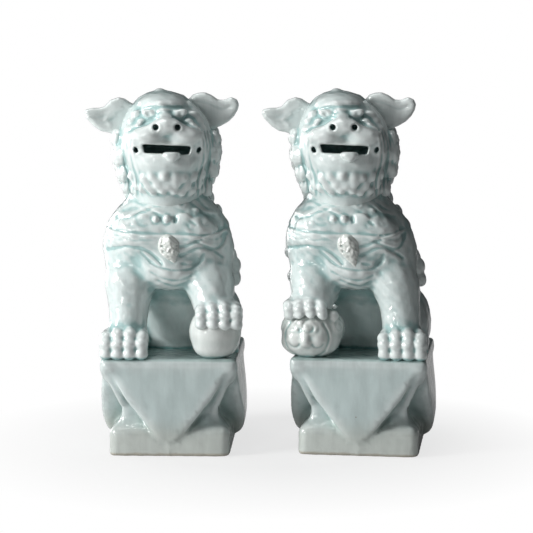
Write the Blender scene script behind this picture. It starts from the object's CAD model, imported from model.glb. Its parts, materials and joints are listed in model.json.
import json
import math

import bpy
import numpy as np
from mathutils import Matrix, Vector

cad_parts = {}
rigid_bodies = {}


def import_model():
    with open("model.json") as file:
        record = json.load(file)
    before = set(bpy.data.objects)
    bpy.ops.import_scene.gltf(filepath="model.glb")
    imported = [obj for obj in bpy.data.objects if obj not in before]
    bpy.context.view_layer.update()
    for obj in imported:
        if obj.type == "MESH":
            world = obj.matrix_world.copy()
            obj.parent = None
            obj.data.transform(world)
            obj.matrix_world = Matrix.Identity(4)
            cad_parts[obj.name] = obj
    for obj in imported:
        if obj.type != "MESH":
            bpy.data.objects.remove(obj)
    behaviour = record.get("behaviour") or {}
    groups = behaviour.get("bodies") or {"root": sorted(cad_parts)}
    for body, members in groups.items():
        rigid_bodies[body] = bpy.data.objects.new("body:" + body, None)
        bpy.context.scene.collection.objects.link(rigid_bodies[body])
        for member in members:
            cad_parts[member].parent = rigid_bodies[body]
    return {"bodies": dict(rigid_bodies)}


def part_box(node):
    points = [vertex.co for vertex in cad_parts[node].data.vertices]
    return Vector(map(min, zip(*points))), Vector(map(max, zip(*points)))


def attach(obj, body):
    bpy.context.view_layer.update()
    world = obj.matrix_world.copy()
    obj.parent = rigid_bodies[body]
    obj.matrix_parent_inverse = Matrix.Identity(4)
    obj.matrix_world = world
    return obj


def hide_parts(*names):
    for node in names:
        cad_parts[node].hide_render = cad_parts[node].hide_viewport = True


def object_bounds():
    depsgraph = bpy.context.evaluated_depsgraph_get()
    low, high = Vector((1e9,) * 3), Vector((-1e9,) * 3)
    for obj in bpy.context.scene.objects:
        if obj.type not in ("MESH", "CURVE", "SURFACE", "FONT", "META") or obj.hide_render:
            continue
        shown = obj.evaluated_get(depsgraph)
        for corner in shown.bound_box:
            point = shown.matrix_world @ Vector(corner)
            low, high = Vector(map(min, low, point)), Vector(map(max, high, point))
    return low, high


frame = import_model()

import openvdb as vdb
from mathutils import Vector

cad_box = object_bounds()

# Two cast porcelain lions on draped plinths. Each form is built up as clay is: as a distance
# field in millimetres, in the lion's own frame, with its face towards -Y and the shelf at Z = 0.
# The field is then skinned, set on the shelf and given its glaze.

MM = 1000.0
LIONS = tuple(sorted(frame["bodies"]))
DECK_Z = round(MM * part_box("ball_lion_plinth_deck")[1].z, 3)
# degrees about the plinth's middle, and of the head about the neck
TURN = {"ball_lion": -2.0, "cub_lion": -8.0}
HEAD_TURN = 7.0
HEAD_Y = -19.5
# how far the carving on the chest stands to one side, and how low the tassel's tip hangs
PATTERN_SHIFT = {"ball_lion": -1.0, "cub_lion": -3.5}
TASSEL_TIP = {"ball_lion": 172, "cub_lion": 165.5}
# middle and width of what lies under the raised paw, and the gap left round it
PROPS = {"ball_lion": ((41.0, -55.0, 111.6), 47.0), "cub_lion": ((-42.5, -54.0, 112.5), 54.0)}
PAW_GAP = 0.2
# how far from the surface the fields are kept, and how far round a form they are worked out
FAR = 4.0
MARGIN = 2.5
# over how many millimetres a surface is averaged to tell its hollows from its ridges, and how
# much the depth of the glaze follows that
POOLS = {"fine": (1.4, 2.8), "broad": (4.0, 1.1), "wide": (11.0, 0.65)}


# Forms

def length(*parts):
    return np.sqrt(sum(p * p for p in parts) + 1e-9)


def egg(at, half, axes=None):
    """An egg shape; axes are three unit rows of its own frame."""
    at = np.array(at, float)
    half = np.array(half, float)
    turn = np.eye(3) if axes is None else np.array(axes, float)
    reach = np.sqrt(((turn * half[:, None]) ** 2).sum(axis=0))

    def distance(x, y, z):
        p = [x - at[0], y - at[1], z - at[2]]
        if axes is not None:
            p = [sum(turn[i][j] * p[j] for j in range(3)) for i in range(3)]
        inner = length(p[0] / half[0], p[1] / half[1], p[2] / half[2])
        slope = length(p[0] / half[0] ** 2, p[1] / half[1] ** 2, p[2] / half[2] ** 2)
        return inner * (inner - 1) / (slope + 1e-6)
    return at - reach, at + reach, distance


def ball(at, radius):
    return egg(at, (radius, radius, radius))


def rod(a, b, ra, rb=None):
    """A round bar from a to b whose radius runs from ra to rb."""
    a, b = np.array(a, float), np.array(b, float)
    rb = ra if rb is None else rb
    run = b - a
    size = float(run @ run) + 1e-9

    def distance(x, y, z):
        p = (x - a[0], y - a[1], z - a[2])
        along = np.clip(sum(p[i] * run[i] for i in range(3)) / size, 0, 1)
        return length(*(p[i] - along * run[i] for i in range(3))) - (ra + along * (rb - ra))
    most = max(ra, rb)
    return np.minimum(a, b) - most, np.maximum(a, b) + most, distance


def slab(low, high, edge):
    """A block with rounded edges, between two corners."""
    low, high = np.array(low, float), np.array(high, float)
    at, half = (low + high) / 2, (high - low) / 2 - edge

    def distance(x, y, z):
        q = [np.abs(v - c) - h for v, c, h in zip((x, y, z), at, half)]
        out = length(*(np.maximum(v, 0) for v in q))
        return out + np.minimum(np.maximum(np.maximum(q[0], q[1]), q[2]), 0) - edge
    return low, high, distance


def block(half_wide, half_deep, low, high, edge):
    """A slab whose middle stands on the lion's own axis."""
    return slab((-half_wide, -half_deep, low), (half_wide, half_deep, high), edge)


def everything_below(z, front=-100):
    """What a figure's foot is cut with."""
    return slab((-90, front, 60), (90, 100, z), 0.1)


def line_distance(points, u, v):
    """Distance in a plane to an open line."""
    best = np.inf
    for (ax, ay), (bx, by) in zip(points, points[1:]):
        ex, ey = bx - ax, by - ay
        wx, wy = u - ax, v - ay
        t = np.clip((wx * ex + wy * ey) / (ex * ex + ey * ey + 1e-9), 0, 1)
        best = np.minimum(best, (wx - ex * t) ** 2 + (wy - ey * t) ** 2)
    return np.sqrt(best)


def outline_distance(points, u, v):
    """Distance in a plane to a closed outline, negative inside."""
    closed = [*points, points[0]]
    inside = False
    for (ax, ay), (bx, by) in zip(closed, closed[1:]):
        rise = abs(by - ay)
        side = (u - ax) * rise < (bx - ax) * (v - ay) * np.sign(by - ay)
        inside = inside ^ (((ay <= v) != (by <= v)) & side)
    away = line_distance(closed, u, v)
    return np.where(inside, -away, away)


def soft_curve(points, steps=6):
    """A smooth line through the points, in so many steps from each to the next."""
    p = np.array(points, float)
    p = np.vstack([2 * p[0] - p[1], p, 2 * p[-1] - p[-2]])
    out = []
    for i in range(1, len(p) - 2):
        for t in np.linspace(0, 1, steps, endpoint=False):
            a, b, c, d = p[i - 1], p[i], p[i + 1], p[i + 2]
            part = 2 * b + (c - a) * t + (2 * a - 5 * b + 4 * c - d) * t * t
            out.append(0.5 * (part + (3 * b - a - 3 * c + d) * t ** 3))
    out.append(p[-2])
    return np.array(out)


def tilted(degrees):
    """Three unit rows of a frame that is tilted sideways."""
    c, s = math.cos(math.radians(degrees)), math.sin(math.radians(degrees))
    return (c, 0, s), (0, 1, 0), (-s, 0, c)


class Loft:
    """An upright form of oval sections: rows of height, half width, front and back."""
    EASE = 14.0
    STEP = 0.5

    def __init__(self, rows):
        rows = np.array(rows, float)
        self.z = np.arange(rows[0, 0] - 30, rows[-1, 0] + 30, self.STEP)
        window = np.hanning(int(self.EASE / self.STEP) | 1)
        window /= window.sum()
        pad = len(window) // 2
        self.columns = []
        for k in (1, 2, 3):
            v = np.pad(np.interp(self.z, rows[:, 0], rows[:, k]), pad, mode="edge")
            self.columns.append(np.convolve(v, window, mode="valid"))
        self.ends = rows[0, 0], rows[-1, 0]
        wide = rows[:, 1].max()
        self.low = np.array([-wide, rows[:, 2].min(), rows[0, 0]])
        self.high = np.array([wide, rows[:, 3].max(), rows[-1, 0]])

    def at(self, z):
        """Half its width, half its depth and where its middle lies, at a height."""
        half, front, back = (np.interp(z, self.z, column) for column in self.columns)
        return half, (back - front) / 2, (back + front) / 2

    def form(self):
        def distance(x, y, z):
            half, deep, mid = self.at(z)
            inner = length(x / half, (y - mid) / deep)
            slope = length(x / half ** 2, (y - mid) / deep ** 2)
            d = inner * (inner - 1) / (slope + 1e-6)
            d = np.where(inner < 0.3, -0.7 * np.minimum(half, deep), d)
            return np.maximum(np.maximum(d, self.ends[0] - z), z - self.ends[1])
        return self.low, self.high, distance

    def front(self, x, z, out=0.0):
        """A point so far out from the form's front, at a place across and a height."""
        half, deep, mid = self.at(z)
        return np.array([x, mid - (deep + out) * math.sqrt(max(0.0, 1 - (x / half) ** 2)), z])

    def around(self, turn, z, out):
        """A point so far out from the form's side, at an angle from its front, and the way out."""
        half, deep, mid = self.at(z)
        a = math.radians(turn)
        way = np.array([math.sin(a) / half, -math.cos(a) / deep, 0])
        way /= np.linalg.norm(way)
        return np.array([half * math.sin(a), mid - deep * math.cos(a), z]) + out * way, way


def soft_min(a, b, blend):
    """The lesser of two distances, with a fillet where they meet."""
    if blend <= 0:
        return np.minimum(a, b)
    h = np.clip(0.5 + 0.5 * (a - b) / blend, 0, 1)
    return a + (b - a) * h - blend * h * (1 - h)


class Clay:
    """A distance field on a grid, negative inside, which forms are added to and cut from."""

    def __init__(self, low, high, step):
        self.low = np.array(low, float)
        self.step = step
        self.count = [math.ceil((h - l) / step) + 1 for l, h in zip(low, high)]
        self.field = np.full(self.count, FAR, np.float32)

    def window(self, low, high, pad):
        """The part of the grid round a box, and the places of its points."""
        cut, axes = [], []
        for k in range(3):
            first = max(0, math.floor((low[k] - pad - self.low[k]) / self.step))
            last = min(self.count[k], math.ceil((high[k] + pad - self.low[k]) / self.step) + 1)
            if last <= first:
                return None, None
            cut.append(slice(first, last))
            axes.append(self.low[k] + self.step * np.arange(first, last))
        return tuple(cut), np.ix_(*axes)

    def add(self, form, blend=0.0, sign=1):
        low, high, distance = form
        cut, places = self.window(low, high, blend + MARGIN)
        if cut:
            self.field[cut] = sign * soft_min(sign * self.field[cut], distance(*places), blend)

    def cut(self, form, blend=0.0):
        self.add(form, blend, -1)

    def emboss(self, low, high, height):
        """Raises the surface by a height that depends on the place."""
        cut, places = self.window(low, high, 0)
        if cut:
            self.field[cut] -= height(*places)

    def trace(self, points, width, height, back=-8.0):
        """Raises a ridge, or sinks a groove, along a line drawn on the front: across and up."""
        points = soft_curve(points)
        pad = 2.5 * width
        low = [points[:, 0].min() - pad, -120, points[:, 1].min() - pad]
        high = [points[:, 0].max() + pad, back, points[:, 1].max() + pad]
        self.emboss(low, high, lambda x, y, z: (
            height * np.exp(-(line_distance(points, x, z) / width) ** 2)
            * np.clip((back - y) / 6, 0, 1)))

    def curl(self, at, way, size, height, turns, hand):
        """A snail curl of hair: a low dome with a spiral groove, facing one way."""
        way = np.array(way, float) / np.linalg.norm(way)
        side = np.cross(way, [0, 0, 1.0])
        side = np.array([1.0, 0, 0]) if np.linalg.norm(side) < 0.2 else side / np.linalg.norm(side)
        up = np.cross(side, way)
        axes = [side, up, way]
        self.add(egg(at, (size, size, size * height), axes), size * 0.24)
        at = np.array(at, float)
        pitch = size / turns

        def groove(x, y, z):
            p = (x - at[0], y - at[1], z - at[2])
            a, b, c = (sum(ax[k] * p[k] for k in range(3)) for ax in axes)
            r = length(a, b)
            phase = r / pitch - hand * np.arctan2(b, a) / (2 * math.pi)
            gap = np.abs(phase - np.round(phase)) * pitch
            inside = np.clip((size * 0.98 - r) / (size * 0.25), 0, 1) * (c > -size * 0.2)
            inside = inside * np.clip(r / (0.3 * size), 0.25, 1)
            return -0.085 * size * np.exp(-(gap / (0.11 * size)) ** 2) * inside
        reach = size * 1.1
        self.emboss(at - reach, at + reach, groove)

    def unsettle(self, amount):
        """The slow unevenness of a surface that was pressed and wiped by hand."""
        x, y, z = np.ix_(*(
            low + self.step * np.arange(count, dtype=np.float32) for low, count in zip(self.low, self.count)
        ))
        wave = np.sin(0.47 * x + 0.31 * z + 1.0) * np.sin(0.39 * y - 0.28 * z + 0.4)
        wave = wave + 0.7 * np.sin(0.23 * x - 0.61 * z + 2.0) * np.sin(0.52 * y + 0.19 * x)
        self.field += (amount * wave).astype(np.float32)

    def soften(self, times=1):
        """Rounds off what is finer than the grid."""
        self.field = np.clip(self.field, -FAR, FAR)
        for _ in range(times):
            for axis in range(3):
                f = self.field
                ahead, behind = np.roll(f, -1, axis), np.roll(f, 1, axis)
                self.field = 0.25 * (ahead + behind) + 0.5 * f

    def sample(self, field, places):
        """Values of a field at places, between its grid points."""
        p = (places - self.low) / self.step
        base = np.clip(np.floor(p).astype(int), 0, np.array(self.count) - 2)
        t = p - base
        out = np.zeros(len(places))
        for corner in np.ndindex(2, 2, 2):
            near = np.where(corner, t, 1 - t)
            out += near[:, 0] * near[:, 1] * near[:, 2] * field[tuple((base + corner).T)]
        return out

    def blurred(self, reach):
        """The field averaged over a cube of this half size, to tell hollows from ridges."""
        n = max(1, round(reach / self.step))
        wide = 2 * n + 1
        f = np.clip(self.field, -FAR, FAR)
        for axis in range(3):
            pad = [(n + 1, n) if k == axis else (0, 0) for k in range(3)]
            total = np.cumsum(np.pad(f, pad, mode="edge"), axis=axis, dtype=np.float64)
            total = np.moveaxis(total, axis, 0)
            f = np.moveaxis(((total[wide:] - total[:-wide]) / wide).astype(np.float32), 0, axis)
        return f

    def skin(self, lion, form, thrift=0.0, **stance):
        """Turns the field into a mesh object, with its normals and how deep the glaze pools.
        Thrift is how far flat stretches are made of larger faces, and stance how it is set down."""
        self.soften()
        grid = vdb.FloatGrid(FAR)
        grid.copyFromArray(self.field)
        points, triangles, quads = grid.convertToPolygons(0.0, thrift)
        spots = points.astype(float) * self.step + self.low
        normals = np.stack([
            self.sample(self.field, spots + aside) - self.sample(self.field, spots - aside)
            for aside in self.step * np.eye(3)
        ], axis=1)
        normals /= np.linalg.norm(normals, axis=1)[:, None] + 1e-9
        pools = {key: -self.sample(self.blurred(reach), spots) for key, (reach, _) in POOLS.items()}
        spots, normals = set_down(lion, spots, normals, **stance)
        faces = triangles.tolist() + quads.tolist()
        mesh = bpy.data.meshes.new(f"{lion}_{form}")
        mesh.from_pydata((spots / MM).tolist(), [], faces)
        mesh.polygons.foreach_set("use_smooth", [True] * len(mesh.polygons))
        mesh.normals_split_custom_set_from_vertices(normals.tolist())
        for key, depth in pools.items():
            layer = mesh.attributes.new(f"pool_{key}", "FLOAT", "POINT")
            layer.data.foreach_set("value", depth.astype(np.float32))
        piece = bpy.data.objects.new(f"{lion}_{form}", mesh)
        bpy.context.collection.objects.link(piece)
        return piece


# Where things stand

SWAY = {
    # how far the figure leans to one side at heights above the shelf
    "ball_lion": [
        (88, 0), (130, 0), (165, -2), (200, -4.5), (240, -5), (270, -5.5), (300, -5.8), (330, -7),
    ],
    "cub_lion": [
        (88, 0), (130, -2), (165, -8), (200, -13), (230, -16.5), (262, -17.5), (300, -19.5), (330, -21.5),
    ],
}


def turned(x, y, degrees):
    c, s = math.cos(math.radians(degrees)), math.sin(math.radians(degrees))
    return x * c - y * s, x * s + y * c


def set_down(lion, spots, normals, sways=True, on_neck=False):
    """Places points and normals of one lion's own frame on the shelf."""
    x, y, z = spots.T
    nx, ny, nz = normals.T
    if on_neck:
        x, y = turned(x, y - HEAD_Y, HEAD_TURN)
        y = y + HEAD_Y
        nx, ny = turned(nx, ny, HEAD_TURN)
    if sways:
        heights, shifts = zip(*SWAY[lion])
        shift = np.interp(z, heights, shifts)
        slope = (np.interp(z + 4, heights, shifts) - np.interp(z - 4, heights, shifts)) / 8
        x, nz = x + shift, nz - slope * nx
    x, y = turned(x, y, TURN[lion])
    low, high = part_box(f"{lion}_plinth_deck")
    across = round(MM * (low.x + high.x) / 2, 3)
    normals = np.stack([*turned(nx, ny, TURN[lion]), nz], axis=1)
    normals /= np.linalg.norm(normals, axis=1)[:, None] + 1e-9
    return np.stack([x + across, y, z], axis=1), normals


# Plinth

def drape_form(span, reach, low_reach, tip_z, bulge, back, turn):
    """A cloth corner hanging from the deck's edge to a blunt point, over a filled wedge."""
    top = DECK_Z - 1.0
    hem, blunt = top - 7, 7
    outline = [
        (-span / 2, top), (span / 2, top), (span / 2, hem), (blunt, tip_z + 1),
        (0, tip_z - 1), (-blunt, tip_z + 1), (-span / 2, hem),
    ]
    c, s = math.cos(turn), math.sin(turn)

    def distance(x, y, z):
        u = c * x + s * y
        out = s * x - c * y
        flat = outline_distance(outline, u, z) - 0.8
        up = np.clip((z - tip_z) / (top - tip_z), 0, 1)
        swell = bulge * np.sin(math.pi * up ** 0.55) * np.clip(1 - (2 * u / span) ** 2, 0, 1)
        face = low_reach + (reach - low_reach) * np.minimum(1, 1.7 * up) + swell
        d = -soft_min(-flat, -(out - face), 4.5)
        return np.maximum(d, back - out)
    far = max(span / 2, reach + bulge) + 2
    return (-far, -far, tip_z - 3), (far, far, DECK_Z), distance


def make_plinth(lion):
    clay = Clay((-70, -86, -4), (70, 86, 93), 1.1)
    # the base with its shoulder, and the narrow core
    clay.add(block(54.5, 70.5, -10, 27, 8))
    clay.add(block(47.5, 63.5, 8, 35, 9), 5)
    clay.add(block(43.5, 60, 10, 84, 2.2), 3.5)
    # front and back drape, the two at the sides, and the deck over them
    for turn in (0, math.pi):
        drape = drape_form(span=119, reach=75.0, low_reach=71.0, tip_z=12, bulge=1.8, back=52, turn=turn)
        clay.add(drape, 1.5)
    for turn in (math.pi / 2, 3 * math.pi / 2):
        drape = drape_form(span=148, reach=60.4, low_reach=58.0, tip_z=9, bulge=7.4, back=38, turn=turn)
        clay.add(drape, 1.5)
    clay.add(block(59.8, 75.2, 80, DECK_Z + 0.4, 2.6), 3.0)
    # folded pleats where two drapes meet at each corner
    for sx in (-1, 1):
        for sy in (-1, 1):
            clay.add(rod((sx * 53, sy * 67.5, 80), (sx * 43.5, sy * 60, 48), 7.5, 2.5), 5.0)
            clay.cut(rod((sx * 53.5, sy * 77, 74), (sx * 45, sy * 70.5, 54), 2.2, 2.8), 5.0)
            clay.cut(rod((sx * 64.5, sy * 62, 74), (sx * 56.5, sy * 55, 54), 2.2, 2.8), 5.0)
    # the mould's seam: a nick below the deck's edge, and a faint ridge at the foot
    for sy in (-1, 1):
        clay.cut(rod((0, sy * 76.4, 90), (0, sy * 77.6, 70), 1.5), 0.6)
        clay.add(rod((0, sy * 70.6, 14), (0, sy * 70.2, 2), 0.8), 1.4)
    # the hollow underneath
    clay.cut(block(90, 100, -30, 0.1, 0.1))
    clay.cut(block(47.5, 63.5, -12, 16, 6), 2)
    clay.cut(block(37.5, 54, -12, 77, 8), 6)
    clay.unsettle(0.16)
    clay.soften()
    return clay.skin(lion, "draped_plinth", 0.05, sways=False)


# Figure

COAT = Loft([
    (86, 46, -6, 61), (102, 50, -14, 67), (118, 52, -18, 68), (134, 51, -24, 67), (146, 50, -36, 63),
    (154, 49.5, -46, 58), (164, 50.5, -54, 53), (178, 53, -60, 47), (194, 55, -62, 41),
    (208, 52.5, -60, 36), (220, 46, -54, 32), (230, 38, -48, 29), (242, 35, -43, 27),
])
SKULL = Loft([
    (222, 29, -50, 16), (236.7, 33.5, -58, 23), (249.4, 37.5, -63.5, 28), (262, 41, -66.5, 31),
    (274, 43, -68, 32.5), (285.5, 43.5, -66, 32.5), (296, 41, -60, 30), (306.7, 36, -53, 26),
    (316, 26.5, -43, 19), (321, 15, -34, 10),
])


def raised_side(lion):
    """Which forepaw is raised: 1 is the left one, -1 the right."""
    return 1 if lion == "ball_lion" else -1


def toes(clay, at, wide, deep, high, hang=0.0):
    """Four toes of three knobbly joints each, side by side in front of a paw."""
    step = wide / 4
    thick = step * 0.55
    for i in range(4):
        x = at[0] + (i - 1.5) * step
        bow = 1.2 - abs(i - 1.5) * 1.2
        rise = (0.70, 0.78, 0.80, 0.72)[i] * high
        front = at[1] - 0.36 * deep - bow
        root = (x, at[1] - 0.02 * deep, at[2] + rise)
        joints = [
            (x, at[1] - 0.25 * deep - bow, at[2] + rise - 0.08 * high - hang * 0.3),
            (x, front, at[2] + 0.46 * high - hang * 0.6),
            (x, front, at[2] + 0.17 * high - hang),
        ]
        clay.add(rod(root, joints[0], thick * 0.8, thick), 2.5)
        for start, end in zip(joints, joints[1:]):
            clay.add(rod(start, end, thick * 0.94), 1.2)
        for spot, size in zip(joints, (1.06, 1.04, 1.06)):
            clay.add(egg(spot, (thick * size, thick * size, thick * 0.8)), 1.6)
        # creases over the joints
        for lift in (0.33, 0.37, 0.62):
            z = at[2] + lift * high - hang * 0.6
            half = step * 0.36
            clay.cut(rod((x - half, front - thick, z), (x + half, front - thick, z + 0.6), 0.5), 0.8)


def make_body(lion):
    side = raised_side(lion)
    clay = Clay((-68, -84, 84), (68, 74, 244), 0.9)
    clay.add(COAT.form())
    # back, shoulder blades and chest
    clay.add(egg((0, 34, 165), (20, 22, 52)), 14)
    clay.add(egg((0, 38, 112), (34, 32, 30)), 12)
    for s in (-1, 1):
        clay.add(egg((s * 38.5, -18, 190), (17.5, 24, 26)), 12)
        clay.add(egg((s * 22, -46, 196), (24, 15, 22)), 10)
    clay.add(egg((0, -42, 168), (30, 21, 19)), 10)
    # haunches and hind paws
    for s in (-1, 1):
        clay.add(egg((s * 41.5, 28, 112), (19.5, 37, 34)), 7)
        clay.add(egg((s * 43.5, 4, 107), (16.5, 22, 25)), 6)
        clay.add(egg((s * 44, -6, 95), (16, 22, 11)), 5)
        toes(clay, (s * 45, -14, 87), 30, 26, 17)
    # forelegs
    for s, up in ((-side, False), (side, True)):
        clay.add(rod((s * 36, -26, 182), (s * 36.5, -40, 152), 21, 19.5), 9)
        if up:
            clay.add(rod((s * 37, -40, 152), (s * 39, -50, 141), 20.5, 18.5), 6)
            if lion == "ball_lion":
                clay.add(egg((43, -58, 134), (20, 16, 10)), 5)
                toes(clay, (45.5, -60.5, 117.5), 41, 40, 24.5, 1.0)
            else:
                clay.add(egg((-43, -57, 135), (20, 16, 9)), 5)
                toes(clay, (-45, -59.5, 124.5), 38, 38, 17.5)
                clay.add(ball((-19.5, -62, 134.5), 2.4), 1.0)
        else:
            clay.add(rod((s * 37, -40, 152), (s * 38.5, -50, 112), 19.5, 16.5), 6)
            clay.add(egg((s * 39.5, -53, 104), (20, 17, 14)), 5)
            toes(clay, (s * 40, -58, 88), 42.5, 40, 31)
    # the prop's seat
    spot, size = PROPS[lion]
    clay.cut(ball(spot, size / 2 + PAW_GAP))
    make_harness(clay, PATTERN_SHIFT[lion])
    clay.unsettle(0.22)
    # the foot, which ends in the deck, and the neck, which ends in the head
    clay.cut(everything_below(DECK_Z - 0.8))
    clay.field[:, :, clay.count[2] - 3:] = FAR
    return clay.skin(lion, "body", 0.05)


def make_harness(clay, shift):
    """The carved collar cloth, its straps and bosses, on the chest; shift moves the pattern across."""
    def line(points, width, height, back=-8.0):
        clay.trace([(x + shift, z) for x, z in points], width * 1.15, height * 0.8, back)

    # the ledge under the beard, and the neck's hollow
    line([(-41, 236), (-20, 234.5), (0, 234), (20, 234.6), (41, 237)], 1.3, 0.9, 0)
    line([(-43, 230.5), (-20, 229.5), (0, 229), (20, 230), (43, 231.5)], 2.0, -1.0, 0)
    # the cloth's scalloped upper edge
    scallop = [
        (-44, 222), (-36.5, 224.9), (-27.6, 227.2), (-18.7, 224.4), (-13.6, 221.4), (-7.8, 223.4),
        (-2.1, 225),
    ]
    line(scallop, 0.9, -0.9)
    line([(x, z - 2.0) for x, z in scallop], 1.0, 0.8)
    line([
        (-44, 217), (-34, 216.3), (-23.8, 219.3), (-14.8, 223.1), (-9, 222.4), (-3.3, 219.8), (5.6, 214.4),
    ], 1.2, 1.1)
    line([(-44, 213.5), (-34, 213), (-25, 216.2), (-14.8, 219.6), (-8, 219), (-3, 216.6)], 0.9, -0.7)
    # a ring, two ropes and a leaf on the other side
    line([(14.2, 227.5), (17.2, 228.7), (20.2, 226.5), (18.6, 223.2), (15.0, 223.4), (13.8, 226)], 1.0, 1.1)
    line([(27, 228), (32, 224), (37.5, 219.5), (47.7, 217)], 1.3, 1.5)
    line([(32, 230), (36, 226.5), (41, 222.3), (47, 220.5)], 1.1, 1.2)
    line([(18, 218.5), (21, 216.2), (25.4, 211.5), (30, 208)], 1.0, -0.9)
    clay.add(egg(COAT.front(18.5 + shift, 211.5, 0.0), (7.5, 2.8, 7.0)), 2.5)
    clay.cut(egg(COAT.front(11.5 + shift, 214, 2.2), (2.0, 2.6, 4.4)), 1.5)
    # bosses
    for x, z, wide, high in (
        (-31, 212, 3.3, 3.2), (-17, 213.6, 6.6, 4.6), (-6.2, 213, 3.2, 3.2), (3.6, 213.4, 3.6, 3.9),
        (29, 219.6, 3.3, 3.1), (38, 211, 3.0, 3.0), (26, 207.5, 2.6, 2.4),
    ):
        spot = COAT.front(x + shift, z, 0.6)
        clay.add(egg(spot, (wide, 3.2, high)), 1.0)
        foot = [(x - wide * 0.7, z - high), (x, z - high * 1.4), (x + wide * 0.8, z - high)]
        line([(x - wide * 1.2, z + 0.5), *foot], 0.8, -0.6)
    # the bib's hem, with its fine cord
    hem = [
        (-53, 204.5), (-34, 202), (-14, 200.8), (6, 200.4), (22, 200.2), (34, 198.6), (46, 200.5), (54, 204),
    ]
    line(hem, 0.9, -1.0, -4)
    line([(x, z - 2.2) for x, z in hem], 1.0, 0.9, -4)
    # gathered straps
    for z, height in ((197.2, 0.8), (193.3, 0.8), (190.4, 0.6)):
        strap = [(-54, z + 1.5), (-42, z - 1), (-33, z + 0.4), (-24, z - 1.2), (-14, z), (-7, z - 1)]
        line(strap, 0.9, height, -4)
    line([
        (-53, 184.5), (-40, 187.6), (-31.4, 189), (-22.5, 187.6), (-13.6, 184), (-6.5, 178.2), (-2.5, 173),
    ], 1.2, -1.4)
    line([(14, 188.5), (21, 189.8), (29.9, 193.6), (35, 195.6)], 1.0, -1.2)
    line([(29.9, 193.4), (37.5, 189.4), (45.2, 186.3), (52, 190), (55, 198)], 1.1, -1.3)
    line([(33.7, 195.2), (42.6, 191.9), (49, 190.4), (54, 195)], 0.9, -0.8)
    line([(35, 198.6), (42.6, 195.2), (49, 194.8), (54, 199)], 0.9, -0.7)
    line([(14.5, 180.4), (22.2, 183.8), (29.9, 187.2), (37.5, 187), (45.2, 183), (51, 178)], 1.2, -1.2)
    line([(15.5, 173.5), (24, 172.3), (31, 176), (35.5, 182.5)], 1.0, -0.9)
    # creases of the belly, each an arc that hangs lower in the middle
    line([
        (-21, 184), (-16.1, 179), (-12, 174.6), (-5.9, 171), (4.3, 168.2), (18.4, 167.8), (27.3, 171),
        (34, 177),
    ], 0.9, -1.1)
    line([(-13, 166), (-3, 160.5), (6.5, 158.4), (15, 159), (23, 163)], 1.1, -1.0, -20)
    line([(-7, 158.4), (1, 154.4), (6.5, 153.2), (13, 153.6), (20, 157)], 1.1, -0.9, -20)


def make_ball(lion):
    spot, size = PROPS[lion]
    spot = np.array(spot)
    clay = Clay(spot - 28, spot + 28, 0.8)
    clay.add(ball(spot, size / 2))
    clay.add(egg(spot - [0, 7, 13], (18.5, 12.5, 10.4)), 5)
    clay.cut(everything_below(DECK_Z + 0.1, front=-70))
    clay.soften()
    return clay.skin(lion, "glazed_ball", sways=False)


def make_cub(lion):
    """A cub curled into a ball, its face turned out under the paw."""
    spot = np.array(PROPS[lion][0])
    x, y, z = spot
    clay = Clay(spot - 33, spot + 33, 0.65)
    clay.add(egg((x, y + 1, z), (28, 23.5, 24.3)))
    clay.add(egg((x - 1.5, y - 9, z - 10), (26.0, 12.8, 14.4)), 6)
    face = x - 3.5
    clay.add(egg((face, y - 12.5, z - 3), (19, 13, 17)), 6)
    clay.add(rod((face, y - 22.0, z + 6), (face - 0.5, y - 25.6, z - 8), 2.6, 3.4), 3.5)
    clay.add(egg((face, y - 25.0, z - 9.5), (4.8, 3.0, 3.0)), 2.5)
    for s in (-1, 1):
        clay.add(egg((face + s * 10, y - 20.8, z - 6.4), (6.6, 4.6, 6.6)), 3.0)
        clay.cut(egg((face + s * 8.4, y - 26, z + 2.6), (5.0, 3.6, 3.0)), 2.0)
        clay.add(ball((face + s * 8.2, y - 22.2, z + 2.6), 2.0), 0.7)
        clay.add(egg((face + s * 4.5, y - 22.4, z + 8.0), (3.4, 2.4, 2.8)), 2.0)
        clay.add(rod((face + s * 9, y - 21.5, z + 10), (face + s * 17, y - 18.5, z + 0.5), 1.6, 1.2), 1.6)
        # smile, jowl and the ring of hair round the face
        smile = [(5.5, -10), (7.5, -12.6), (10.5, -13.4), (13.5, -12.4), (15.5, -10)]
        rim = [(15, 8), (19, 0), (19.6, -8), (16, -17), (9, -22)]
        clay.trace([(face + s * u, z + v) for u, v in smile], 0.9, -1.0)
        clay.trace([(face + s * u, z + v) for u, v in rim], 1.0, -1.0)
        clay.trace([(face + s * (u + 2.2), z + v) for u, v in rim[:-1]], 0.9, 0.7)
        clay.add(egg((x + s * 20, y - 9, z + 13), (5, 6, 5.5)), 2.0)
    # curls of hair round its back, a larger one where the tail lies
    for turn, size in ((35, 8.0), (75, 9.0), (115, 8.5), (-60, 8.0), (-100, 9.0), (180, 9.5)):
        a = math.radians(turn)
        way = np.array([math.sin(a), math.cos(a), 0.25])
        hand = 1 if turn > 0 else -1
        clay.curl((x + 24.5 * math.sin(a), y + 1 + 21 * math.cos(a), z + 4), way, size, 0.45, 1.6, hand)
    clay.cut(everything_below(DECK_Z + 0.1, front=-70))
    clay.unsettle(0.15)
    clay.soften()
    return clay.skin(lion, "curled_cub", sways=False)


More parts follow.
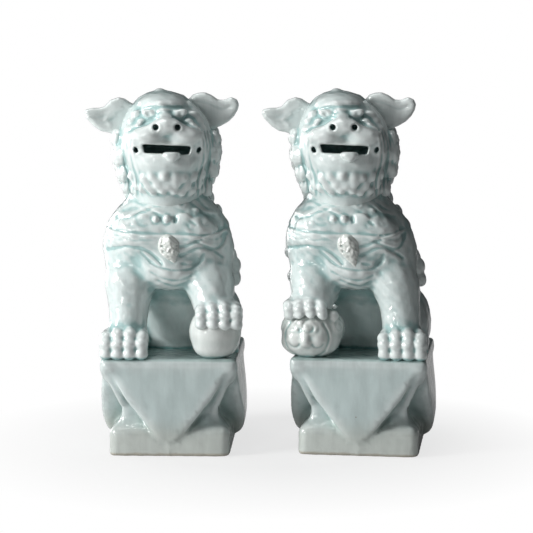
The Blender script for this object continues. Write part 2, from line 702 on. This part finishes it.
def make_tassel(lion):
    """A rough leaf-shaped tassel, creased down its middle."""
    x = 5.0 + PATTERN_SHIFT[lion]
    tip = TASSEL_TIP[lion]
    clay = Clay((x - 16, -80, 160), (x + 18, -40, 205), 0.55)
    y = COAT.front(x, 190)[1]
    clay.add(egg((x, y + 0.2, 189), (10.2, 6.0, 11.4)))
    clay.add(rod((x + 0.5, y + 0.5, 184), (x + 3.9, y + 3.4, tip + 1), 7.4, 2.3), 2.5)
    clay.add(rod((x + 1.5, y - 4.6, 196), (x + 3.8, y + 0.6, tip), 2.0, 1.3), 3.0)
    # carved strands that fall to each side of the crease, and pits among them
    for k in range(9):
        z = 200 - 3.2 * k
        clay.trace([(x - 10, z - 7.5), (x - 4, z - 3), (x + 1.6, z)], 0.7, -0.35, -30)
        clay.trace([(x + 11, z - 7), (x + 6, z - 3), (x + 2.4, z)], 0.7, -0.35, -30)
    rng = np.random.default_rng(7)
    for _ in range(60):
        z = rng.uniform(174, 200)
        reach = 8.5 if z > 184 else 5
        at = x + 1.5 + rng.uniform(-1, 1) * reach
        depth = y - 5.6 + 0.075 * (at - x - 1) ** 2 + max(0.0, 184 - z) * 0.28 + max(0.0, z - 194) * 0.35
        clay.cut(ball((at, depth - 1.6, z), rng.uniform(1.0, 1.5)), 0.9)
    return clay.skin(lion, "chest_tassel")


def make_back(lion):
    """The curled hair down the back, on the flanks and behind the elbows."""
    clay = Clay((-74, -24, 84), (74, 84, 244), 1.0)
    rows = []
    for s in (-1, 1):
        for i, z in enumerate(range(228, 118, -13)):
            rows.append((s * (112 + 4 * (i % 2)), z, 8.2 if z < 215 else 7.4, s))
        rows += [(s * 99, 142, 7.4, s), (s * 106, 182, 7.4, -s)]
        for i, z in enumerate(range(232, 150, -15)):
            rows.append((s * (134 + 6 * (i % 2)), z, 8.6, -s))
            rows.append((s * 157, z - 7, 8.6, s))
    rows += [(180, z, 9.0, 1 if z % 2 else -1) for z in range(236, 196, -14)]
    for turn, z, size, hand in rows:
        spot, way = COAT.around(turn, z, 0.3)
        clay.curl(spot, way, size * 1.05, 0.54, 1.5, hand)
    # tufts that stand out behind the elbows, two more of them further out on the cub's side
    tufts = [(-60.5, 2, 177, 7.0), (-61.0, 2, 154, 7.6)] if lion == "cub_lion" else []
    for s in (-1, 1):
        tufts += [(s * 54, 4, 176, 7.5), (s * 56.5, 6, 166, 8.6), (s * 56, 7, 154, 8.2)]
        tufts += [(s * 53, 22, 172, 8.0), (s * 53, 24, 158, 8.0)]
    for x, y, z, size in tufts:
        s = 1 if x > 0 else -1
        clay.curl((x, y, z), (s, -0.35, 0.1), size, 0.8, 1.5, s)
    return clay.skin(lion, "back_curls")


def make_tail(lion):
    """An upright plume of curls against the back, the middle ones between smaller ones."""
    clay = Clay((-34, 30, 84), (34, 92, 204), 1.0)
    for i, (z, size) in enumerate(((100, 12), (116, 13), (134, 13), (152, 12), (170, 10.5), (185, 8))):
        spot, way = COAT.around(180, z, 4.0)
        clay.curl(spot + [0, 2, 0], way, size, 0.75, 1.8, 1 if i % 2 else -1)
        if 1 <= i <= 4:
            for s in (-1, 1):
                side, way = COAT.around(180 - s * 16, z - 6, 2.0)
                clay.curl(side + [s * 1.5, 2.0, 0], way + [s * 0.4, 0, 0], size * 0.78, 0.75, 1.6, s)
    clay.cut(everything_below(DECK_Z - 0.4))
    return clay.skin(lion, "tail_plume")


# Head

def make_face(clay):
    # crown with its knot of hair, brow and the broad soft nose
    clay.add(egg((-2, -15, 308), (28.5, 25, 19.5)), 7)
    clay.add(egg((-2, -33, 312), (21, 17.5, 11.5)), 8)
    clay.add(egg((-4, -17, 325.5), (4.6, 4.6, 4.3)), 2.5)
    for x in (-9, 1.5):
        clay.add(ball((x, -17, 323.6), 2.9), 1.6)
    clay.add(rod((-1.5, -54, 300), (-3.5, -46, 311), 8.0, 4.6), 5)
    clay.add(egg((-0.5, -63, 296), (16.5, 11.5, 8.5)), 7)
    for s in (-1, 1):
        # flews and cheeks
        clay.add(egg((s * 17.5, -60.5, 287.5), (15, 12, 9.8)), 6)
        clay.add(egg((s * 24.5, -41, 279), (13, 19, 19)), 8)
        # the eye, low in its hollow
        clay.cut(egg((s * 19 - 1, -60, 302), (10.0, 5.6, 4.6)), 5)
        clay.add(egg(SKULL.front(s * 21 - 1.5, 300.4, -0.6), (4.2, 3.8, 2.9)), 1.2)
        for line, depth in (
            (((6, 304), (11, 302.4), (17, 298.8), (24, 295.2), (31, 291.6)), 1.2),
            (((12, 303.2), (17, 304.4), (24, 303.4), (28, 300)), 0.8),
        ):
            clay.trace([(s * x - 1.5, z) for x, z in line], 1.2, -depth, -20)
        # brow: a soft lobe that rises outward, then lumps that run down the temple
        clay.add(egg(SKULL.front(s * 14 - 1.8, 307.2, 2.2), (7.2, 3.8, 3.9), tilted(18 * s)), 3.0)
        clay.cut(ball(SKULL.front(s * 14.5 - 1.8, 307.0, 7.2), 2.2), 2.4)
        for x, z, size in ((25.5, 306, 4.2), (30, 300, 4.0), (32.5, 293, 4.0), (23.5, 296.5, 2.6)):
            clay.add(egg(SKULL.front(s * x - 1, z, 0.7), (size * 1.2, 3.8, size * 0.9)), 3.2)
    clay.add(egg((0, -57, 262.5), (24, 10.5, 9)), 8)
    # furrows of the forehead
    furrow = [(-22, 308), (-16, 312.3), (-8, 313.2), (0, 312.8), (9, 313.0), (17, 314.2), (23, 313.0)]
    clay.trace(furrow, 1.5, -0.8, -18)
    for z, wide, height in ((317.5, 15, 0.5), (315.3, 19, 0.55), (310.8, 8, 0.6)):
        fold = [(-wide, z - 1.5), (-wide / 2, z), (0, z + 0.4), (wide / 2, z), (wide, z - 1.0)]
        clay.trace(fold, 0.9, height, -18)


def raised_rim(across, up, radius, width, height):
    """How far the rim of a hole in the face is raised."""
    return lambda x, y, z: height * np.exp(-((length(x - across, z - up) - radius) / width) ** 2)


def mouth_slot(x, z):
    """Distance from the mouth's opening, which is wider at its top and falls to one side."""
    u, w = np.abs(x + 0.6) - 19.4 - 0.25 * (z - 275.4), np.abs(z + 0.05 * x - 275.5) - 2.5
    return length(np.maximum(u, 0), np.maximum(w, 0)) + np.minimum(np.maximum(u, w), 0) - 1.3


def make_mouth(clay):
    # nostrils with their rims
    for s in (-1, 1):
        x = s * 9.6 - 0.8
        clay.emboss((x - 8, -90, 287), (x + 8, -55, 303), raised_rim(x, 295, 4.0, 1.4, 0.45))
        clay.cut(rod((x, -95, 295), (x, -60, 295.5), 2.6), 0.8)
    # a slot cut straight through, its lip a fine raised edge
    clay.emboss((-30, -90, 262), (30, -45, 290), lambda x, y, z: (
        0.8 * np.exp(-((mouth_slot(x, z) - 1.3) / 1.2) ** 2)))
    clay.cut(((-24, -95, 268), (24, -30, 284), lambda x, y, z: np.maximum(mouth_slot(x, z), y + 34)), 0.5)
    clay.cut(egg((0, -36, 276), (30, 26, 17)), 1)
    # tilted holes beside the mouth, each behind a slim pillar
    for s in (-1, 1):
        x = s * 28
        clay.emboss((x - 8, -80, 266), (x + 8, -30, 283), raised_rim(x, 274.9, 3.8, 1.2, 0.5))
        clay.cut(rod((s * 28.8, -90, 275.8), (s * 28.2, -38, 275.4), 2.0), 0.8)
        clay.cut(rod((s * 27.2, -90, 273.8), (s * 27.4, -38, 274), 1.7), 0.8)


def make_beard(clay):
    """Short soft curls in rows under the chin, each set between two of the row above."""
    rng = np.random.default_rng(11)
    for z, size, across in ((251.5, 4.9, 8), (244.8, 4.8, 7), (238.2, 4.2, 8)):
        for i in range(across):
            x = (i - (across - 1) / 2) * 8.8 + rng.uniform(-1.4, 1.4)
            spot = SKULL.front(x, z + rng.uniform(-2.2, 2.2), 0.3)
            axes = tilted(rng.uniform(-30, 30) - 0.5 * x)
            half = (size * 0.86, size * rng.uniform(0.6, 0.8), size * rng.uniform(0.9, 1.15))
            clay.add(egg(spot, half, axes), 3.6)


def make_mane(clay):
    """Curls down both sides of the head and its nape, none quite in line with the next."""
    rng = np.random.default_rng(5)
    for s in (-1, 1):
        for turn, z, size in (
            (82, 283, 8.4), (78, 271, 10.4), (77, 256, 10.2), (76, 242, 8.6),
            (106, 296, 6.6), (103, 286, 8.8), (100, 273, 10), (99, 260, 10), (98, 247, 9.4), (98, 235, 8.4),
            (127, 310, 8.4), (125, 297, 9.6), (124, 283, 10.2), (123, 268, 10.4), (122, 254, 10.2),
            (122, 241, 9.4), (152, 315, 8.4), (150, 303, 9.8), (150, 290, 10.4), (149, 275, 10.6),
            (149, 260, 10.4), (149, 246, 10), (150, 234, 8.5),
        ):
            stray = (3.0, 2.5) if turn < 110 else (7.0, 3.5)
            turn, z = turn + rng.uniform(-1, 1) * stray[0], z + rng.uniform(-1, 1) * stray[1]
            spot, way = SKULL.around(s * turn, z, 1.8)
            clay.curl(spot, way + [0, 0, 0.12], size * rng.uniform(0.96, 1.12), 0.68, 1.7, s)
    for z, size in ((318, 8.5), (308, 9.5), (297, 10.4), (282, 10.6), (267, 10.6), (252, 10.4), (238, 9.4)):
        spot, way = SKULL.around(180 + rng.uniform(-8, 8), z, 1.6)
        clay.curl(spot, way, size, 0.66, 1.7, 1 if z % 2 else -1)
    # strands that fall from each ear's root in front of the curls, fuller on the turned side
    for k, (top, foot) in enumerate(((29, 25.5), (32, 29.5), (35, 33), (38, 36.5), (40.5, 39.5))):
        for s, height in ((1, 1.1), (-1, 0.7)):
            line = [
                (s * top, 292 - k), (s * (top + 2.2), 279), (s * (top + 1.0 + k % 2), 264),
                (s * foot, 248), (s * foot, 234),
            ]
            clay.trace(line, 0.9, height, -4)
            clay.trace([(x + s * 1.5, z) for x, z in line], 0.8, -0.8 * height, -4)


def make_head(lion):
    clay = Clay((-60, -90, 222), (60, 52, 334), 0.85)
    clay.add(SKULL.form())
    make_face(clay)
    make_mouth(clay)
    make_beard(clay)
    make_mane(clay)
    clay.unsettle(0.18)
    return clay.skin(lion, "carved_head", 0.05, on_neck=True)


EAR_OUTLINES = {
    # across and up, from the root over the top to the tip and back underneath
    "right": [
        (-24, 314), (-31, 317), (-36, 320.6), (-42, 322), (-50, 319.2), (-55.5, 313.5), (-60, 312.4),
        (-66, 312.4), (-72.5, 311), (-75, 307.5), (-71.5, 301), (-65.5, 294.5), (-59, 290.2),
        (-52.5, 289), (-47, 287), (-36, 288), (-24, 296),
    ],
    "left": [
        (14, 312), (22, 319.5), (25.5, 324), (31.5, 326), (37.5, 326.3), (43.5, 323.8), (49, 319.8),
        (54, 319.5), (61, 322.2), (66.5, 320), (68.5, 315), (67, 309.5), (63.5, 304), (58, 298.8),
        (50.5, 294.6), (42, 291.6), (34, 290), (20, 298),
    ],
}


def make_ear(lion, side):
    outline = EAR_OUTLINES[side]
    xs, zs = zip(*outline)
    low, high = (min(xs) - 3, -34, min(zs) - 3), (max(xs) + 3, 14, max(zs) + 3)
    clay = Clay(low, high, 0.6)

    def leaf(x, y, z):
        flat = outline_distance(outline, x, z)
        out = np.clip((np.abs(x) - 24) / 46, 0, 1)
        middle = -9 - 8 * out + (1.5 * np.sin((z - 290) / 9.0))
        thick = 6.4 - 2.6 * out
        return -soft_min(-(flat + 0.4), thick - np.abs(y - middle), 5.0)
    clay.add((low, high, leaf))
    # scooped front with its inner folds
    if side == "right":
        clay.cut(egg((-50, -25.5, 303), (17, 9.5, 8.5)), 3)
        clay.trace([(-40, 312), (-48, 309), (-54, 302), (-50, 296)], 1.8, 0.7, 0)
        clay.trace([(-70, 303.5), (-62, 300.5), (-54, 301.5), (-47, 306)], 1.4, 0.9, 0)
    else:
        clay.cut(egg((50, -25, 311), (15, 8.0, 7.5)), 4)
        clay.trace([(30, 318), (40, 316), (52, 311), (60, 313)], 1.4, -0.9, 0)
    clay.soften(2)
    return clay.skin(lion, f"{side}_folded_ear", on_neck=True)


def make_tongue(lion):
    clay = Clay((-12, -86, 256), (20, -36, 284), 0.5)
    clay.add(rod((3.4, -40, 271.5), (3.4, -64, 271.5), 3.6))
    clay.add(egg((3.2, -67.5, 270.6), (8.4, 7.6, 4.2)), 2)
    clay.add(egg((3.6, -67.5, 267.6), (4.8, 6.6, 3.6)), 2.5)
    # flat on top, and blunt at its tip
    clay.cut(slab((-20, -100, 273.6), (30, -30, 290), 0.2), 0.8)
    clay.cut(slab((-20, -100, 250), (30, -74.3, 290), 0.2), 1.2)
    clay.soften()
    return clay.skin(lion, "flat_tongue", on_neck=True)


# Materials

class Nodes:
    """The node tree of a material or a world, with short ways to add to it."""

    def __init__(self, owner):
        owner.use_nodes = True
        self.tree = owner.node_tree

    def fill(self, socket, value):
        """Links another node's output into a socket, or sets the socket's own value."""
        if isinstance(value, bpy.types.NodeSocket):
            self.tree.links.new(value, socket)
        else:
            socket.default_value = value

    def add(self, kind, *inputs, **settings):
        """A new node: inputs fill its sockets in turn, settings the socket or option so named."""
        made = self.tree.nodes.new(kind)
        for key, value in settings.items():
            label = key.replace("_", " ")
            if label in made.inputs:
                self.fill(made.inputs[label], value)
            else:
                setattr(made, key, value)
        for socket, value in zip(made.inputs, inputs):
            self.fill(socket, value)
        return made

    def place(self):
        """Where a point is in the frame, in metres."""
        return self.add("ShaderNodeTexCoord").outputs["Object"]

    def noise(self, place, scale, detail, rough=0.5):
        made = self.add("ShaderNodeTexNoise", Vector=place, Scale=scale, Detail=detail, Roughness=rough)
        return made.outputs["Fac"]

    def scaled(self, source, by, plus=0.0):
        return self.add("ShaderNodeMath", source, by, plus, operation="MULTIPLY_ADD").outputs[0]

    def total(self, first, *others):
        for other in others:
            first = self.add("ShaderNodeMath", first, other, operation="ADD").outputs[0]
        return first

    def ramp(self, source, *stops):
        """A grey that runs between two stops, each a value of the source and its grey."""
        made = self.add("ShaderNodeValToRGB", source)
        for element, (at, grey) in zip(list(made.color_ramp.elements), stops):
            element.position = at
            element.color = (grey, grey, grey, 1)
        return made.outputs["Color"]

    def mix(self, share, under, over, how="MIX"):
        """One colour over another; a colour is an output, or its red, green and blue."""
        made = self.add("ShaderNodeMix", data_type="RGBA", blend_type=how)
        for index, value in ((0, share), (6, under), (7, over)):
            self.fill(made.inputs[index], (*value, 1) if isinstance(value, tuple) else value)
        return made.outputs[2]


GLAZES = {
    # its slot, then the colours of thin glaze, glaze of usual depth, and glaze pooled in hollows
    "lion": ("lion_glaze", (0.84, 0.895, 0.885), (0.70, 0.79, 0.782), (0.26, 0.48, 0.475)),
    "plinth": ("plinth_glaze", (0.69, 0.76, 0.755), (0.53, 0.628, 0.625), (0.28, 0.40, 0.385)),
    "prop": ("ball_and_cub_glaze", (0.84, 0.875, 0.855), (0.69, 0.76, 0.735), (0.30, 0.49, 0.48)),
    "harness": ("harness_glaze", (0.76, 0.785, 0.755), (0.63, 0.68, 0.65), (0.27, 0.38, 0.36)),
}
BARE_CLAY = (0.42, 0.36, 0.28)
WORN_GLAZE = (0.50, 0.51, 0.45)
IRON_SPECK = (0.22, 0.17, 0.11)


def glaze_colour(nodes, place, name):
    """Celadon over porcelain: pale where it runs thin, blue-green where it pools."""
    _, thin, usual, pooled = GLAZES[name]
    # how deep the glaze lies, from -1 on ridges to 1 in hollows
    parts = [
        nodes.scaled(nodes.add("ShaderNodeAttribute", attribute_name=f"pool_{key}").outputs["Fac"], weight)
        for key, (_, weight) in POOLS.items()
    ]
    depth = nodes.total(*parts, nodes.scaled(nodes.noise(place, 26, 3), 0.5, -0.25))
    hollow = nodes.ramp(nodes.scaled(depth, 0.5, 0.5), (0.56, 0.0), (1.0, 0.72))
    ridge = nodes.ramp(nodes.scaled(depth, -0.5, 0.5), (0.54, 0.0), (0.96, 0.75))
    tone = nodes.mix(ridge, nodes.mix(hollow, usual, pooled), thin)
    # pooled glaze rings a figure's feet, and bare clay shows along the plinth's
    height = nodes.add("ShaderNodeSeparateXYZ", place).outputs["Z"]
    foot = 0.0 if name == "plinth" else DECK_Z / MM
    ragged = nodes.scaled(nodes.noise(place, 90, 3, 0.6), -0.6)
    lift = nodes.total(nodes.scaled(height, 170.0, -170.0 * foot), ragged)
    tone = nodes.mix(nodes.ramp(lift, (0.0, 1.0), (0.35, 0.0)), tone, pooled if foot else BARE_CLAY)
    if name == "plinth":
        # glaze worn thin and warm along the base, and thick on the level deck
        cloud = nodes.scaled(nodes.noise(place, 30, 4, 0.6), 0.5, -0.25)
        worn = nodes.ramp(nodes.total(nodes.scaled(height, 25.0), cloud), (0.45, 0.5), (0.9, 0.0))
        tone = nodes.mix(worn, tone, WORN_GLAZE)
        deck = nodes.ramp(nodes.scaled(height, 250.0, -21.5), (0.1, 0.0), (0.45, 0.75))
        tone = nodes.mix(deck, tone, pooled)
    # faint runs of glaze down the surface, and a slow drift of its colour
    stretched = nodes.add("ShaderNodeMapping", vector_type="TEXTURE", Vector=place, Scale=(1, 1, 6))
    runs = nodes.ramp(nodes.noise(stretched.outputs["Vector"], 130, 3, 0.6), (0.38, 0.90), (0.62, 1.0))
    tone = nodes.mix(1.0, tone, runs, "MULTIPLY")
    tone = nodes.mix(1.0, tone, nodes.ramp(nodes.noise(place, 9, 2), (0.35, 0.93), (0.65, 1.0)), "MULTIPLY")
    # rare iron specks
    cells = nodes.add("ShaderNodeTexVoronoi", Vector=place, Scale=42.0)
    speck = nodes.ramp(cells.outputs["Distance"], (0.012, 1.0), (0.034, 0.0))
    rare = nodes.ramp(nodes.noise(place, 11, 0), (0.64, 0.0), (0.68, 1.0))
    return nodes.mix(nodes.mix(1.0, speck, rare, "MULTIPLY"), tone, IRON_SPECK)


def glaze(name):
    """A glossy coat over the glaze's colour, with the orange peel and swell of a fired surface."""
    material = bpy.data.materials.new(f"celadon_{name}")
    nodes = Nodes(material)
    place = nodes.place()
    peel = nodes.add("ShaderNodeBump", Strength=0.10, Distance=0.0006, Height=nodes.noise(place, 330, 2, 0.6))
    swell = nodes.add(
        "ShaderNodeBump", Strength=0.22, Distance=0.0016, Height=nodes.noise(place, 70, 2),
        Normal=peel.outputs["Normal"])
    shader = nodes.tree.nodes["Principled BSDF"]
    for key, value in (
        ("Base Color", glaze_colour(nodes, place, name)),
        ("Normal", swell.outputs["Normal"]), ("Coat Normal", swell.outputs["Normal"]),
        ("Roughness", nodes.ramp(nodes.noise(place, 120, 2), (0.3, 0.30), (0.7, 0.42))),
        ("IOR", 1.5), ("Coat Weight", 1.0), ("Coat Roughness", 0.045), ("Coat IOR", 1.55),
    ):
        nodes.fill(shader.inputs[key], value)
    return material


def shelf_material():
    """White paper that keeps the figures' shadow and runs out into plain white round them."""
    material = bpy.data.materials.new("shelf_paper")
    nodes = Nodes(material)
    place = nodes.place()
    grain = nodes.add("ShaderNodeBump", Strength=0.05, Height=nodes.noise(place, 400, 2))
    shader = nodes.tree.nodes["Principled BSDF"]
    nodes.fill(shader.inputs["Base Color"], (0.66, 0.66, 0.66, 1))
    nodes.fill(shader.inputs["Roughness"], 0.7)
    nodes.fill(shader.inputs["Normal"], grain.outputs["Normal"])
    far = nodes.add("ShaderNodeVectorMath", place, operation="LENGTH").outputs["Value"]
    fade = nodes.add("ShaderNodeMapRange", Value=far, From_Min=0.12, From_Max=0.30, To_Min=0.72, To_Max=1.0)
    seen = nodes.add("ShaderNodeLightPath").outputs["Is Camera Ray"]
    share = nodes.add("ShaderNodeMath", fade.outputs["Result"], seen, operation="MULTIPLY").outputs[0]
    white = nodes.add("ShaderNodeEmission").outputs["Emission"]
    both = nodes.add("ShaderNodeMixShader", share, shader.outputs["BSDF"], white)
    nodes.fill(nodes.tree.nodes["Material Output"].inputs["Surface"], both.outputs["Shader"])
    return material


def studio_world():
    """White to the camera, and a faint cool light to everything else."""
    world = bpy.data.worlds.new("studio")
    nodes = Nodes(world)
    nodes.tree.nodes.clear()
    seen = nodes.add("ShaderNodeBackground", Color=(1, 1, 1, 1))
    felt = nodes.add("ShaderNodeBackground", Color=(0.93, 0.97, 1.0, 1), Strength=0.04)
    camera_ray = nodes.add("ShaderNodeLightPath").outputs["Is Camera Ray"]
    choice = nodes.add(
        "ShaderNodeMixShader", camera_ray, felt.outputs["Background"], seen.outputs["Background"])
    nodes.add("ShaderNodeOutputWorld", Surface=choice.outputs["Shader"])
    return world


# The pair

glazes = {name: glaze(name) for name in GLAZES}


def finish_piece(piece, lion, finish, *nodes):
    piece.data.materials.append(glazes[finish])
    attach(piece, lion)
    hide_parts(*(f"{lion}_{node}" for node in nodes))


for lion in LIONS:
    finish_piece(make_plinth(lion), lion, "plinth", "plinth_left_half", "plinth_right_half", "plinth_deck")
    finish_piece(
        make_body(lion), lion, "lion", "torso", "left_haunch", "right_haunch", "left_hind_paw",
        "right_hind_paw", "standing_foreleg", "raised_foreleg", "standing_forepaw", "raised_forepaw",
        "girth", "collar", "collar_studs",
    )
    finish_piece(
        make_head(lion), lion, "lion", "head", "brows", "eyes", "beard", "left_mane", "right_mane",
        "back_mane",
    )
    for side in ("left", "right"):
        finish_piece(make_ear(lion, side), lion, "lion", f"{side}_ear")
    finish_piece(make_tongue(lion), lion, "lion", "tongue")
    finish_piece(make_tassel(lion), lion, "harness", "tassel")
    finish_piece(make_tail(lion), lion, "lion", "tail")
    finish_piece(make_back(lion), lion, "lion", "elbow_tufts")
finish_piece(make_ball("ball_lion"), "ball_lion", "prop", "ball")
finish_piece(make_cub("cub_lion"), "cub_lion", "prop", "cub")


# Shelf, light and camera

mesh = bpy.data.meshes.new("shelf")
mesh.from_pydata([(-6, -6, 0), (6, -6, 0), (6, 6, 0), (-6, 6, 0)], [], [(0, 1, 2, 3)])
shelf = bpy.data.objects.new("shelf", mesh)
bpy.context.collection.objects.link(shelf)
shelf.data.materials.append(shelf_material())
bpy.context.scene.world = studio_world()


def lamp(name, at, aim, size, power, tone=(1, 1, 1), glints=True):
    """A soft box of a width and height at one place, aimed at another."""
    light = bpy.data.lights.new(name, "AREA")
    light.shape = "RECTANGLE"
    light.size, light.size_y = size
    light.energy = power
    light.color = tone
    holder = bpy.data.objects.new(name, light)
    bpy.context.collection.objects.link(holder)
    holder.location = at
    holder.rotation_euler = (Vector(aim) - Vector(at)).to_track_quat("-Z", "Y").to_euler()
    holder.visible_glossy = glints


lamp("window", (-1.66, -0.7, 0.85), (0, 0, 0.17), (0.5, 0.8), 36, (1, 1, 0.99))
lamp("front_window", (-0.95, -1.75, 0.75), (0, 0, 0.16), (0.22, 0.55), 2.6, (1, 1, 0.99))
lamp("back_window", (-1.3, 1.3, 0.45), (0, 0, 0.15), (0.9, 0.9), 7.5)
lamp("far_wall", (0.5, 2.0, 0.9), (0, 0, 0.17), (0.8, 0.6), 7, glints=False)
lamp("low_card", (-0.95, -1.1, 0.12), (0, 0, 0.07), (0.1, 0.12), 1.2, (1, 0.99, 0.97))
lamp("top", (-0.3, -0.1, 1.5), (0, 0, 0.15), (0.6, 0.6), 4.6)
lamp("right_card", (1.4, -1.1, 0.5), (0, 0, 0.17), (0.06, 0.7), 0.2)

# the photo's viewpoint: level with the crowns, looking a little down
CAMERA_AWAY = 1.6
CAMERA_ASIDE = 0.0013
CAMERA_DIP = 5.9
camera = bpy.data.cameras.new("camera")
camera.sensor_fit = "HORIZONTAL"
camera.sensor_width = 36.0
camera.lens = 116.8
camera.clip_end = 30
eye = bpy.data.objects.new("camera", camera)
bpy.context.collection.objects.link(eye)
eye.location = (CAMERA_ASIDE, -CAMERA_AWAY, cad_box[1][2])
eye.rotation_euler = (math.radians(90 - CAMERA_DIP), 0, 0)
bpy.context.scene.camera = eye
bpy.context.scene.view_settings.view_transform = "Standard"

bpy.context.view_layer.update()
